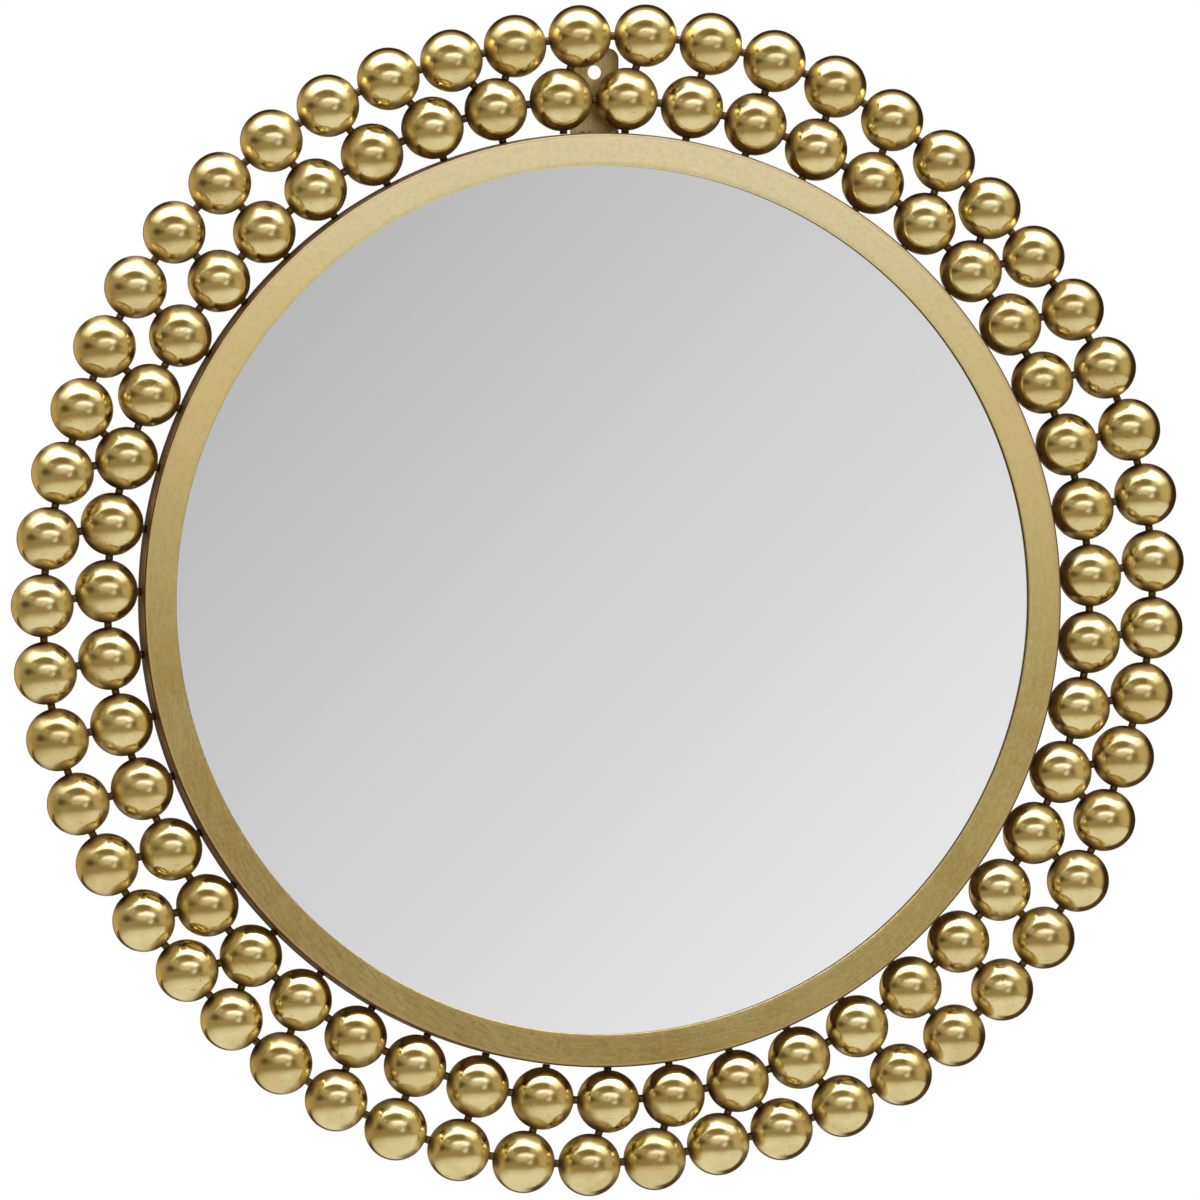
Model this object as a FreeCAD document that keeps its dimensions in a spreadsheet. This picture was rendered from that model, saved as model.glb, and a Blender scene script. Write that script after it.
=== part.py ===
import FreeCAD, Part
import math
import os
import Sketcher

# Round wall mirror: glass in a flat metal ring, set in two rows of hollow balls.
# The glass faces -Y, the wall is on the +Y side and +Z is up.
# The origin lies on the mirror's axis, in the plane of the ball centres.
# Turns are in degrees, clockwise from the top as seen from the front.

sizes = {
    # flat ring and the hoop behind it
    "sight_diameter": 553.0,
    "face_width": 21.0,
    "face_thickness": 3.0,
    "face_lead": 13.0,
    "edge_round": 2.4,
    "lip_round": 0.8,
    "band_wall": 2.0,
    "band_setback": 10.0,
    # balls, and the short pins that hold them
    "ball_diameter": 40.0,
    "ball_wall": 1.0,
    "ball_gap_least": 1.9,
    "ring_gap": 2.1,
    "row_gap": 2.2,
    "inner_start_angle": 3.0,
    "outer_start_angle": 4.6,
    "pin_diameter": 4.0,
    # glass and what lies behind it
    "gasket_thickness": 1.0,
    "gasket_setback": 2.0,
    "glass_thickness": 4.0,
    "glass_arris": 0.8,
    "cushion_thickness": 2.0,
    "cushion_width": 20.0,
    "board_thickness": 5.0,
    # turn clips on their posts
    "clip_count": 6,
    "clip_start_angle": 30.0,
    "clip_width": 9.0,
    "clip_reach": 14.0,
    "clip_thickness": 1.6,
    "slide_gap": 0.15,
    "post_diameter": 8.0,
    "post_clearance": 1.5,
    "thread_share": 0.7,
    "bore_share": 0.8,
    "screw_diameter": 4.0,
    "thread_clearance": 0.05,
    "pivot_clearance": 0.08,
    "head_diameter": 7.6,
    "head_height": 2.4,
    "head_crown_share": 0.62,
    "slot_width": 1.1,
    "slot_depth": 1.2,
    "washer_diameter": 8.4,
    "washer_thickness": 0.8,
    # hanger at the top
    "hanger_width": 31.0,
    "hanger_thickness": 2.5,
    "hanger_corner": 7.0,
    "hanger_leg": 22.0,
    "hole_diameter": 9.0,
    "hole_row_share": 0.4,
    "hole_cover": 11.0,
    "rivet_diameter": 4.0,
    "rivet_head_diameter": 7.0,
    "rivet_head_height": 1.2,
    "rivet_offset": 9.0,
    "rivet_clearance": 0.25,
    "rivet_setback": 5.0,
    # pads that keep the balls off the wall
    "bumper_diameter": 12.0,
    "bumper_height": 3.0,
    "bumper_count": 4,
    "bumper_skip_count": 6,
    # every cut runs past its wall by this much
    "cut_overrun": 1.0,
}

doc = FreeCAD.newDocument("round_mirror")
sheet = doc.addObject("Spreadsheet::Sheet", "sizes")
for row, (alias, size) in enumerate(sizes.items(), start=1):
    sheet.set(f"A{row}", alias)
    sheet.set(f"B{row}", str(size))
    sheet.setAlias(f"B{row}", alias)
doc.recompute()


def value(expression):
    found = sheet.evalExpression(expression)
    return float(getattr(found, "Value", found))


# Radii that several pieces share, as expressions on the sheet.
sight_radius = "(sizes.sight_diameter / 2)"
ring_radius = f"({sight_radius} + sizes.face_width)"
band_bore = f"({ring_radius} - sizes.band_wall)"
post_radius = "(sizes.post_diameter / 2)"
post_circle = f"({band_bore} - sizes.post_clearance - {post_radius})"
glass_radius = f"({post_circle} - {post_radius} - sizes.post_clearance)"
ball_radius = "(sizes.ball_diameter / 2)"
hollow_radius = f"({ball_radius} - sizes.ball_wall)"
inner_row = f"({ring_radius} + sizes.ring_gap + {ball_radius})"
pin_radius = "(sizes.pin_diameter / 2)"
pin_seat = f"sqrt({ball_radius}^2 - {pin_radius}^2)"
shank_radius = "(sizes.screw_diameter / 2)"
hole_height = f"({inner_row} + sizes.hole_row_share * (sizes.ball_diameter + sizes.row_gap))"
hanger_top = f"({hole_height} + sizes.hole_diameter / 2 + sizes.hole_cover)"
leg_bore = f"({band_bore} - sizes.hanger_thickness)"

# Depths, from the front of the ring to the wall.
face_front = "(-sizes.face_lead)"
face_back = f"({face_front} + sizes.face_thickness)"
glass_front = f"({face_back} + sizes.gasket_thickness)"
glass_back = f"({glass_front} + sizes.glass_thickness)"
board_front = f"({glass_back} + sizes.cushion_thickness)"
board_back = f"({board_front} + sizes.board_thickness)"
clip_front = f"({board_back} + sizes.slide_gap)"
clip_back = f"({clip_front} + sizes.clip_thickness)"
washer_front = f"({clip_back} + sizes.slide_gap)"
washer_back = f"({washer_front} + sizes.washer_thickness)"
head_back = f"({washer_back} + sizes.head_height)"
wall_plane = f"({ball_radius} + sizes.bumper_height)"
plate_front = f"({wall_plane} - sizes.hanger_thickness)"
band_back = f"({plate_front} - sizes.band_setback)"
rivet_depth = f"({band_back} - sizes.rivet_setback)"

# The inner row takes as many balls as fit, evenly spread.
half_pitch = f"asin((sizes.ball_diameter + sizes.ball_gap_least) / 2 / {inner_row})"
inner_count = f"floor(180 deg / {half_pitch})"
inner_pitch = f"(360 deg / {inner_count})"
inner_start = "(sizes.inner_start_angle * 1 deg)"
clip_start = "(sizes.clip_start_angle * 1 deg)"

nodes = []
tolerance = 1e-6


def start_body(label, turn="0 deg"):
    body = doc.addObject("PartDesign::Body", label)
    body.Label = label
    body.Placement = FreeCAD.Placement(FreeCAD.Vector(), FreeCAD.Rotation(FreeCAD.Vector(0, 1, 0), 0))
    body.setExpression("Placement.Rotation.Angle", turn)
    nodes.append(body)
    return body


def origin_feature(body, role):
    return next(feature for feature in body.Origin.OriginFeatures if feature.Role == role)


def start_sketch(body, name, role):
    sketch = body.newObject("Sketcher::SketchObject", name)
    sketch.AttachmentSupport = (origin_feature(body, role), [""])
    sketch.MapMode = "FlatFace"
    return sketch


def pin_point(sketch, geometry, place, corner):
    for kind, expression in zip(("DistanceX", "DistanceY"), corner):
        rule = Sketcher.Constraint(kind, -1, 1, geometry, place, value(expression))
        sketch.setExpression(f"Constraints[{sketch.addConstraint(rule)}]", expression)


def draw_outline(body, name, role, corners, axis=None, arcs=None):
    # Closed outline; each corner is a pair of expressions. The side that starts at a corner
    # named in arcs bends round the centre given there. The axis is a construction line.
    sketch = start_sketch(body, name, role)
    points = [FreeCAD.Vector(value(x), value(y), 0) for x, y in corners]
    centres = {index: FreeCAD.Vector(value(x), value(y), 0) for index, (x, y) in (arcs or {}).items()}
    count = len(points)
    first_ends = []
    for index, start in enumerate(points):
        end = points[(index + 1) % count]
        if index in centres:
            sketch.addGeometry(short_arc(start, end, centres[index]))
        else:
            sketch.addGeometry(Part.LineSegment(start, end))
        first_ends.append(1 if sketch.getPoint(index, 1).isEqual(start, tolerance) else 2)
    for index, first in enumerate(first_ends):
        after = (index + 1) % count
        sketch.addConstraint(Sketcher.Constraint("Coincident", index, 3 - first, after, first_ends[after]))
    for index, corner in enumerate(corners):
        pin_point(sketch, index, first_ends[index], corner)
    for index in centres:
        across = arcs[index][0]
        rule = Sketcher.Constraint("DistanceX", -1, 1, index, 3, value(across))
        sketch.setExpression(f"Constraints[{sketch.addConstraint(rule)}]", across)
    if axis:
        ends = [FreeCAD.Vector(value(x), value(y), 0) for x, y in axis]
        line = sketch.addGeometry(Part.LineSegment(*ends), True)
        for place, end in enumerate(axis, start=1):
            pin_point(sketch, line, place, end)
    return sketch


def short_arc(start, end, centre):
    outwards = (start + end) / 2 - centre
    middle = centre + outwards.normalize() * (start - centre).Length
    return Part.Arc(start, middle, end)


def draw_circles(body, name, role, centres, radius):
    sketch = start_sketch(body, name, role)
    normal = FreeCAD.Vector(0, 0, 1)
    for x, y in centres:
        middle = FreeCAD.Vector(value(x), value(y), 0)
        circle = sketch.addGeometry(Part.Circle(middle, normal, value(radius)))
        pin_point(sketch, circle, 3, (x, y))
        rule = Sketcher.Constraint("Radius", circle, value(radius))
        sketch.setExpression(f"Constraints[{sketch.addConstraint(rule)}]", radius)
    return sketch


def spin(body, name, sketch, axis):
    turned = body.newObject("PartDesign::Revolution", name)
    turned.Profile = sketch
    turned.ReferenceAxis = (sketch, [axis])
    turned.Angle = 360
    doc.recompute()
    return turned


def spin_round_mirror(body, corners):
    # Corners are (radius, depth), spun about the mirror's axis.
    sketch = draw_outline(body, f"{body.Name}_section", "XY_Plane", corners)
    return spin(body, f"{body.Name}_ring", sketch, "V_Axis")


def spin_round_post(body, corners):
    # Corners are (depth, distance from the post's axis), spun about the topmost post's axis.
    raised = [(depth, f"{post_circle} + {away}") for depth, away in corners]
    axis = [(face_back, post_circle), (head_back, post_circle)]
    sketch = draw_outline(body, f"{body.Name}_section", "YZ_Plane", raised, axis)
    return spin(body, f"{body.Name}_turned", sketch, "Axis0")


def set_depth(sketch, depth):
    # A sketch on the XZ plane faces forwards, so its offset runs from back to front.
    sketch.setExpression("AttachmentOffset.Base.z", f"-({depth})")


def pad_back(body, name, sketch, front, back):
    set_depth(sketch, front)
    pad = body.newObject("PartDesign::Pad", name)
    pad.Profile = sketch
    pad.Reversed = True
    pad.setExpression("Length", f"{back} - {front}")
    doc.recompute()
    return pad


def cut(body, name, sketch, length, reverse):
    before = body.Shape.Volume
    pocket = body.newObject("PartDesign::Pocket", name)
    pocket.Profile = sketch
    pocket.Reversed = reverse
    pocket.setExpression("Length", length)
    doc.recompute()
    if pocket.Shape.Volume >= before:
        raise ValueError(f"{name} cuts nothing")
    return pocket


def round_edges(body, name, base, radius, chosen):
    fillet = body.newObject("PartDesign::Fillet", name)
    names = [f"Edge{index}" for index, edge in enumerate(base.Shape.Edges, start=1) if chosen(edge)]
    fillet.Base = (base, names)
    fillet.setExpression("Radius", radius)
    doc.recompute()
    return fillet


def repeat_round_mirror(body, originals, count, step=None):
    # Copies go all the way round, or a stated step apart.
    pattern = body.newObject("PartDesign::PolarPattern", f"{body.Name}_round")
    pattern.Originals = originals
    pattern.Axis = (origin_feature(body, "Y_Axis"), [""])
    pattern.Angle = 360
    pattern.setExpression("Occurrences", count)
    if step:
        pattern.Mode = "Spacing"
        pattern.setExpression("Offset", step)
    body.Tip = pattern
    doc.recompute()
    return pattern


def same(first, second):
    return math.isclose(first, second, abs_tol=tolerance)


def is_circle(edge, radius, depth):
    curve = edge.Curve
    if not isinstance(curve, Part.Circle):
        return False
    return same(curve.Radius, value(radius)) and same(curve.Center.y, value(depth))


def make_face_ring():
    body = start_body("face_ring")
    ring = spin_round_mirror(body, [
        (sight_radius, face_front),
        (ring_radius, face_front),
        (ring_radius, face_back),
        (sight_radius, face_back),
    ])
    outer = round_edges(body, "outer_edge", ring, "sizes.edge_round",
                        lambda edge: is_circle(edge, ring_radius, face_front))
    round_edges(body, "sight_edge", outer, "sizes.lip_round",
                lambda edge: is_circle(edge, sight_radius, face_front))


def make_side_band():
    body = start_body("side_band")
    spin_round_mirror(body, [
        (band_bore, face_back),
        (ring_radius, face_back),
        (ring_radius, band_back),
        (band_bore, band_back),
    ])
    centres = [("-sizes.rivet_offset", rivet_depth), ("sizes.rivet_offset", rivet_depth)]
    hole_radius = "sizes.rivet_diameter / 2 + sizes.rivet_clearance"
    holes = draw_circles(body, "band_rivet_holes", "XY_Plane", centres, hole_radius)
    cut(body, "band_rivet_bores", holes, f"{ring_radius} + sizes.cut_overrun", True)


def make_glass_stack():
    spin_round_mirror(start_body("glazing_gasket"), [
        (f"{sight_radius} + sizes.gasket_setback", face_back),
        (glass_radius, face_back),
        (glass_radius, glass_front),
        (f"{sight_radius} + sizes.gasket_setback", glass_front),
    ])
    spin_round_mirror(start_body("mirror_glass"), [
        ("0", glass_front),
        (f"{glass_radius} - sizes.glass_arris", glass_front),
        (glass_radius, f"{glass_front} + sizes.glass_arris"),
        (glass_radius, f"{glass_back} - sizes.glass_arris"),
        (f"{glass_radius} - sizes.glass_arris", glass_back),
        ("0", glass_back),
    ])
    spin_round_mirror(start_body("cushion_ring"), [
        (f"{glass_radius} - sizes.cushion_width", glass_back),
        (glass_radius, glass_back),
        (glass_radius, board_front),
        (f"{glass_radius} - sizes.cushion_width", board_front),
    ])
    spin_round_mirror(start_body("backing_board"), [
        ("0", board_front),
        (glass_radius, board_front),
        (glass_radius, board_back),
        ("0", board_back),
    ])


def make_inner_balls():
    body = start_body("inner_ball_row", inner_start)
    centre = ("0", inner_row)
    section = draw_outline(body, "ball_section", "XZ_Plane", [
        ("0", f"{inner_row} - {ball_radius}"),
        (ball_radius, inner_row),
        ("0", f"{inner_row} + {ball_radius}"),
        ("0", f"{inner_row} + {hollow_radius}"),
        (hollow_radius, inner_row),
        ("0", f"{inner_row} - {hollow_radius}"),
    ], arcs={0: centre, 1: centre, 3: centre, 4: centre})
    ball = spin(body, "hollow_ball", section, "V_Axis")
    repeat_round_mirror(body, [ball], inner_count)


def make_inner_pins():
    # Each pin lies on the line between two ball centres, and its ends follow the balls.
    body = start_body("inner_row_pins", f"{inner_start} + {inner_pitch} / 2")
    away = f"{inner_row} * sin({inner_pitch} / 2)"
    height = f"{inner_row} * cos({inner_pitch} / 2)"
    section = draw_outline(body, "pin_section", "XZ_Plane", [
        (f"-({away} - {ball_radius})", height),
        (f"{away} - {ball_radius}", height),
        (f"{away} - {pin_seat}", f"{height} + {pin_radius}"),
        (f"-({away} - {pin_seat})", f"{height} + {pin_radius}"),
    ], [(f"-{away}", height), (away, height)], {1: (away, height), 3: (f"-{away}", height)})
    pin = spin(body, "inner_pin", section, "Axis0")
    repeat_round_mirror(body, [pin], inner_count)


def make_ring_studs():
    # A stud ties each ball of the inner row to the ring.
    body = start_body("ring_studs", inner_start)
    section = draw_outline(body, "stud_section", "XZ_Plane", [
        ("0", ring_radius),
        (pin_radius, ring_radius),
        (pin_radius, f"{inner_row} - {pin_seat}"),
        ("0", f"{inner_row} - {ball_radius}"),
    ], arcs={2: ("0", inner_row)})
    stud = spin(body, "ring_stud", section, "V_Axis")
    repeat_round_mirror(body, [stud], inner_count)


def make_bumpers():
    # Soft pads on the backs of a few inner balls.
    body = start_body("wall_bumpers", f"{inner_start} + sizes.bumper_skip_count * {inner_pitch}")
    rim = "sizes.bumper_diameter / 2"
    section = draw_outline(body, "bumper_section", "YZ_Plane", [
        (ball_radius, inner_row),
        (wall_plane, inner_row),
        (wall_plane, f"{inner_row} + {rim}"),
        (f"sqrt({ball_radius}^2 - ({rim})^2)", f"{inner_row} + {rim}"),
    ], [("0", inner_row), (wall_plane, inner_row)], {3: ("0", inner_row)})
    bumper = spin(body, "bumper", section, "Axis0")
    step = f"floor({inner_count} / sizes.bumper_count) * {inner_pitch}"
    repeat_round_mirror(body, [bumper], "sizes.bumper_count", step)


def add_group(label, shapes):
    group = doc.addObject("Part::Feature", label)
    group.Label = label
    group.Shape = Part.makeCompound(shapes)
    group.Placement = FreeCAD.Placement()
    nodes.append(group)


def on_circle(radius, turn):
    angle = math.radians(turn)
    return FreeCAD.Vector(radius * math.sin(angle), 0, radius * math.cos(angle))


def pin_between(first, second):
    along = second - first
    rod = Part.makeCylinder(value(pin_radius), along.Length, first, along)
    return rod.cut([Part.makeSphere(value(ball_radius), end) for end in (first, second)])


def make_outer_row():
    # Each outer ball rests a fixed gap from its nearest inner ball, so the row swells where
    # balls of the two rows are in line and draws in where they lie between each other.
    row = value(inner_row)
    pitch = value(inner_pitch)
    start = value("sizes.inner_start_angle")
    span = value("sizes.ball_diameter + sizes.row_gap")

    def rest_radius(off_turn):
        off = math.radians(off_turn)
        return row * math.cos(off) + math.sqrt(span ** 2 - (row * math.sin(off)) ** 2)

    chord = value("sizes.ball_diameter + sizes.ball_gap_least")
    count = math.floor(math.pi / math.asin(chord / 2 / rest_radius(pitch / 2)))
    balls = []
    links = []
    centres = []
    for index in range(count):
        turn = value("sizes.outer_start_angle") + 360 * index / count
        nearest = start + pitch * round((turn - start) / pitch)
        centre = on_circle(rest_radius(turn - nearest), turn)
        skin = Part.makeSphere(value(ball_radius), centre)
        balls.append(skin.cut(Part.makeSphere(value(hollow_radius), centre)))
        links.append(pin_between(on_circle(row, nearest), centre))
        centres.append(centre)
    pins = [pin_between(centre, centres[index - 1]) for index, centre in enumerate(centres)]
    add_group("outer_ball_row", balls)
    add_group("outer_row_pins", pins)
    add_group("row_links", links)


def make_clip_posts():
    body = start_body("clip_posts", clip_start)
    bore = f"{shank_radius} + sizes.thread_clearance"
    floor_depth = f"{board_back} - sizes.bore_share * ({board_back} - {face_back})"
    post = spin_round_post(body, [
        (face_back, "0"),
        (face_back, post_radius),
        (board_back, post_radius),
        (board_back, bore),
        (floor_depth, bore),
        (floor_depth, "0"),
    ])
    repeat_round_mirror(body, [post], "sizes.clip_count")


def make_clip_screws():
    body = start_body("clip_screws", clip_start)
    head_radius = "sizes.head_diameter / 2"
    tip = f"{board_back} - sizes.thread_share * ({board_back} - {face_back})"
    screw = spin_round_post(body, [
        (tip, "0"),
        (tip, shank_radius),
        (washer_back, shank_radius),
        (washer_back, head_radius),
        (f"{head_back} - sizes.head_crown_share * sizes.head_height", head_radius),
        (head_back, f"{head_radius} * sizes.head_crown_share"),
        (head_back, "0"),
    ])
    half = "sizes.slot_width / 2"
    reach = f"({head_radius} + sizes.cut_overrun)"
    slot = draw_outline(body, "drive_slot", "XZ_Plane", [
        (f"-{half}", f"{post_circle} - {reach}"),
        (half, f"{post_circle} - {reach}"),
        (half, f"{post_circle} + {reach}"),
        (f"-{half}", f"{post_circle} + {reach}"),
    ])
    set_depth(slot, f"{head_back} - sizes.slot_depth")
    groove = cut(body, "drive_groove", slot, "sizes.slot_depth + sizes.cut_overrun", False)
    repeat_round_mirror(body, [screw, groove], "sizes.clip_count")


def make_clip_washers():
    body = start_body("clip_washers", clip_start)
    bore = f"{shank_radius} + sizes.pivot_clearance"
    washer = spin_round_post(body, [
        (washer_front, bore),
        (washer_front, "sizes.washer_diameter / 2"),
        (washer_back, "sizes.washer_diameter / 2"),
        (washer_back, bore),
    ])
    repeat_round_mirror(body, [washer], "sizes.clip_count")


def make_turn_clip(index):
    # Flat bar with round ends, pointing inwards over the board.
    label = f"turn_clip_{index + 1}"
    body = start_body(label, f"{clip_start} + {index} * 360 deg / sizes.clip_count")
    half = "sizes.clip_width / 2"
    tip_height = f"{post_circle} - sizes.clip_reach"
    arm = draw_outline(body, f"{label}_arm", "XZ_Plane", [
        (f"-{half}", tip_height),
        (half, tip_height),
        (half, post_circle),
        (f"-{half}", post_circle),
    ])
    pad_back(body, f"{label}_bar", arm, clip_front, clip_back)
    for end, height in (("tip", tip_height), ("eye", post_circle)):
        circle = draw_circles(body, f"{label}_{end}_circle", "XZ_Plane", [("0", height)], half)
        pad_back(body, f"{label}_{end}", circle, clip_front, clip_back)
    bore = f"{shank_radius} + sizes.pivot_clearance"
    hole = draw_circles(body, f"{label}_hole", "XZ_Plane", [("0", post_circle)], bore)
    set_depth(hole, clip_front)
    cut(body, f"{label}_bore", hole, "sizes.clip_thickness + sizes.cut_overrun", False)


def make_hanger():
    # Flat plate behind the balls, with a leg that turns forwards inside the hoop.
    body = start_body("hanger_bracket")
    half = "sizes.hanger_width / 2"
    section = draw_outline(body, "leg_section", "YZ_Plane", [
        (f"{plate_front} - sizes.hanger_leg", leg_bore),
        (wall_plane, leg_bore),
        (wall_plane, band_bore),
        (f"{plate_front} - sizes.hanger_leg", band_bore),
    ])
    leg = spin(body, "leg", section, "H_Axis")
    leg.Midplane = True
    leg.setExpression("Angle", f"2 * asin({half} / {band_bore})")
    plate_foot = f"{leg_bore} + sizes.hanger_thickness / 2"
    outline = draw_outline(body, "plate_outline", "XZ_Plane", [
        (f"-{half}", plate_foot),
        (half, plate_foot),
        (half, hanger_top),
        (f"-{half}", hanger_top),
    ])
    plate = pad_back(body, "plate", outline, plate_front, wall_plane)
    round_edges(body, "plate_corners", plate, "sizes.hanger_corner", is_top_corner)
    hole_radius = "sizes.hole_diameter / 2"
    hole = draw_circles(body, "hang_hole_circle", "XZ_Plane", [("0", hole_height)], hole_radius)
    set_depth(hole, plate_front)
    cut(body, "hang_hole", hole, "sizes.hanger_thickness + sizes.cut_overrun", False)
    centres = [("-sizes.rivet_offset", rivet_depth), ("sizes.rivet_offset", rivet_depth)]
    rivet_hole_radius = "sizes.rivet_diameter / 2 + sizes.rivet_clearance"
    rivet_holes = draw_circles(body, "leg_rivet_holes", "XY_Plane", centres, rivet_hole_radius)
    cut(body, "leg_rivet_bores", rivet_holes, ring_radius, True)


def is_top_corner(edge):
    ends = [vertex.Point for vertex in edge.Vertexes]
    return all(same(end.z, value(hanger_top)) for end in ends) and same(ends[0].x, ends[-1].x)


def make_rivets():
    # Square to the hoop, with a low head on each side.
    spread = f"asin(sizes.rivet_offset / {ring_radius})"
    body = start_body("hanger_rivets", f"-{spread}")
    shank = "sizes.rivet_diameter / 2"
    head = "sizes.rivet_head_diameter / 2"
    inside = f"sqrt({leg_bore}^2 - ({head})^2)"
    axis = [(rivet_depth, band_bore), (rivet_depth, ring_radius)]
    section = draw_outline(body, "rivet_section", "YZ_Plane", [
        (rivet_depth, f"{inside} - sizes.rivet_head_height"),
        (f"{rivet_depth} + {head}", f"{inside} - sizes.rivet_head_height"),
        (f"{rivet_depth} + {head}", inside),
        (f"{rivet_depth} + {shank}", inside),
        (f"{rivet_depth} + {shank}", ring_radius),
        (f"{rivet_depth} + {head}", ring_radius),
        (f"{rivet_depth} + {head}", f"{ring_radius} + sizes.rivet_head_height"),
        (rivet_depth, f"{ring_radius} + sizes.rivet_head_height"),
    ], axis)
    rivet = spin(body, "rivet", section, "Axis0")
    repeat_round_mirror(body, [rivet], "2", f"2 * {spread}")


make_face_ring()
make_side_band()
make_glass_stack()
make_inner_balls()
make_inner_pins()
make_outer_row()
make_ring_studs()
make_clip_posts()
make_clip_screws()
make_clip_washers()
for clip in range(round(value("sizes.clip_count"))):
    make_turn_clip(clip)
make_hanger()
make_rivets()
make_bumpers()
doc.recompute()

for item in doc.Objects:
    if {"Invalid", "Error"} & set(item.State):
        raise ValueError(f"{item.Label} failed: {item.State}")
for node in nodes:
    if node.Shape.isNull() or not node.Shape.isValid():
        raise ValueError(f"{node.Label} has no valid shape")

os.makedirs("parts", exist_ok=True)
for node in nodes:
    node.Shape.exportStep(f"parts/{node.Label}.step")
    print(node.Label, len(node.Shape.Solids), "solids", round(node.Shape.Volume), "mm3")
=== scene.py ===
import math

import bmesh
import bpy
from mathutils import Matrix, Vector


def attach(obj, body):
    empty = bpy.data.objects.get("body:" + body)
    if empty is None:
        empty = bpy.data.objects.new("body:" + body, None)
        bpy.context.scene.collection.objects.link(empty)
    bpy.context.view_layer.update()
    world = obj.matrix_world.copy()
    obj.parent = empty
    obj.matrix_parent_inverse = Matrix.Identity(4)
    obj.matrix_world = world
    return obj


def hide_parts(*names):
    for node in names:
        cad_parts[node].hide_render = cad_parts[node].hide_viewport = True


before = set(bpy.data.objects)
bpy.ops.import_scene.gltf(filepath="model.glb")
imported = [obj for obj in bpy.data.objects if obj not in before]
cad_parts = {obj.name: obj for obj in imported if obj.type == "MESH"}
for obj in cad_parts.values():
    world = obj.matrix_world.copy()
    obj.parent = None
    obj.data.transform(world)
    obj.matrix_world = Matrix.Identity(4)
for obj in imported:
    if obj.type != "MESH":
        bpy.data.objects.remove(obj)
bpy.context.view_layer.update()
scene = bpy.context.scene
scene.view_settings.view_transform = "Standard"
mm = 0.001


# shader and geometry trees

class Wire:
    # a node's output that takes part in sums
    def __init__(self, socket):
        self.socket = socket
        self.tree = socket.id_data

    def maths(self, operation, first, second):
        return addNode(self.tree, "ShaderNodeMath", {"operation": operation}, {0: first, 1: second})

    def __add__(self, other):
        return self.maths("ADD", self, other)

    def __radd__(self, other):
        return self.maths("ADD", other, self)

    def __sub__(self, other):
        return self.maths("SUBTRACT", self, other)

    def __rsub__(self, other):
        return self.maths("SUBTRACT", other, self)

    def __mul__(self, other):
        return self.maths("MULTIPLY", self, other)

    def __rmul__(self, other):
        return self.maths("MULTIPLY", other, self)

    def __pow__(self, other):
        return self.maths("POWER", self, other)


def addNode(tree, kind, settings=None, values=None, output=0):
    node = tree.nodes.new(kind)
    for name, setting in (settings or {}).items():
        if name == "stops":
            fillRamp(node.color_ramp, setting)
        else:
            setattr(node, name, setting)
    for name, value in (values or {}).items():
        if isinstance(value, Wire):
            tree.links.new(value.socket, node.inputs[name])
        else:
            node.inputs[name].default_value = value
    return Wire(node.outputs[output]) if node.outputs else node


def fillRamp(ramp, stops):
    while len(ramp.elements) < len(stops):
        ramp.elements.new(0.5)
    for element, (place, colour) in zip(ramp.elements, stops):
        element.position = place
        element.color = colour


def grey(level):
    return (level, level, level, 1.0)


def blendColours(factor, first, second):
    return addNode(factor.tree, "ShaderNodeMix", {"data_type": "RGBA"}, {0: factor, 6: first, 7: second}, 2)


def easeBetween(wire, low, high):
    return addNode(wire.tree, "ShaderNodeMapRange", {"interpolation_type": "SMOOTHSTEP"},
                   {"Value": wire, "From Min": low, "From Max": high})


def splitAxes(spot, axes="XYZ"):
    split = addNode(spot.tree, "ShaderNodeSeparateXYZ", None, {"Vector": spot}).socket.node
    return [Wire(split.outputs[axis]) for axis in axes]


def lengthOf(spot):
    return addNode(spot.tree, "ShaderNodeVectorMath", {"operation": "LENGTH"}, {0: spot}, "Value")


def fromAxis(spot):
    # distance from the mirror's axis
    flat = addNode(spot.tree, "ShaderNodeVectorMath", {"operation": "MULTIPLY"}, {0: spot, 1: (1, 0, 1)})
    return lengthOf(flat)


def greaterOf(wire, other):
    return wire.maths("MAXIMUM", wire, other)


def weighed(weights, *wires):
    total = wires[0] * weights[0]
    for wire, weight in zip(wires[1:], weights[1:]):
        total = total + wire * weight
    return total


def objectSpot(tree):
    return addNode(tree, "ShaderNodeTexCoord", output="Object")


def turned(spot, angle):
    return addNode(spot.tree, "ShaderNodeMapping", None, {"Vector": spot, "Rotation": (0, 0, angle)})


def noiseAt(spot, scale, detail, roughness=0.55, distortion=0.0):
    return addNode(spot.tree, "ShaderNodeTexNoise", None, {
        "Vector": spot, "Scale": scale, "Detail": detail, "Roughness": roughness, "Distortion": distortion})


def streaksAt(spot, scales, detail, roughness, distortion=0.0):
    # noise with a scale for each axis
    spot = addNode(spot.tree, "ShaderNodeMapping", None, {"Vector": spot, "Scale": scales})
    return noiseAt(spot, 1.0, detail, roughness, distortion)


def cellsAt(spot, scale):
    return addNode(spot.tree, "ShaderNodeTexVoronoi", None, {"Vector": spot, "Scale": scale}, "Distance")


def attributeOf(tree, name):
    return addNode(tree, "ShaderNodeAttribute", {"attribute_name": name}, None, "Fac")


def bumped(height, distance):
    return addNode(height.tree, "ShaderNodeBump", None,
                   {"Height": height, "Distance": distance, "Strength": 1.0})


def startFinish(name):
    material = bpy.data.materials.new(name)
    material.use_nodes = True
    tree = material.node_tree
    tree.nodes.clear()
    return material, tree


def closeFinish(tree, values):
    shader = addNode(tree, "ShaderNodeBsdfPrincipled", None, values)
    addNode(tree, "ShaderNodeOutputMaterial", None, {"Surface": shader})


# finishes; a noise is its scale or scales, detail, roughness and distortion

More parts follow.
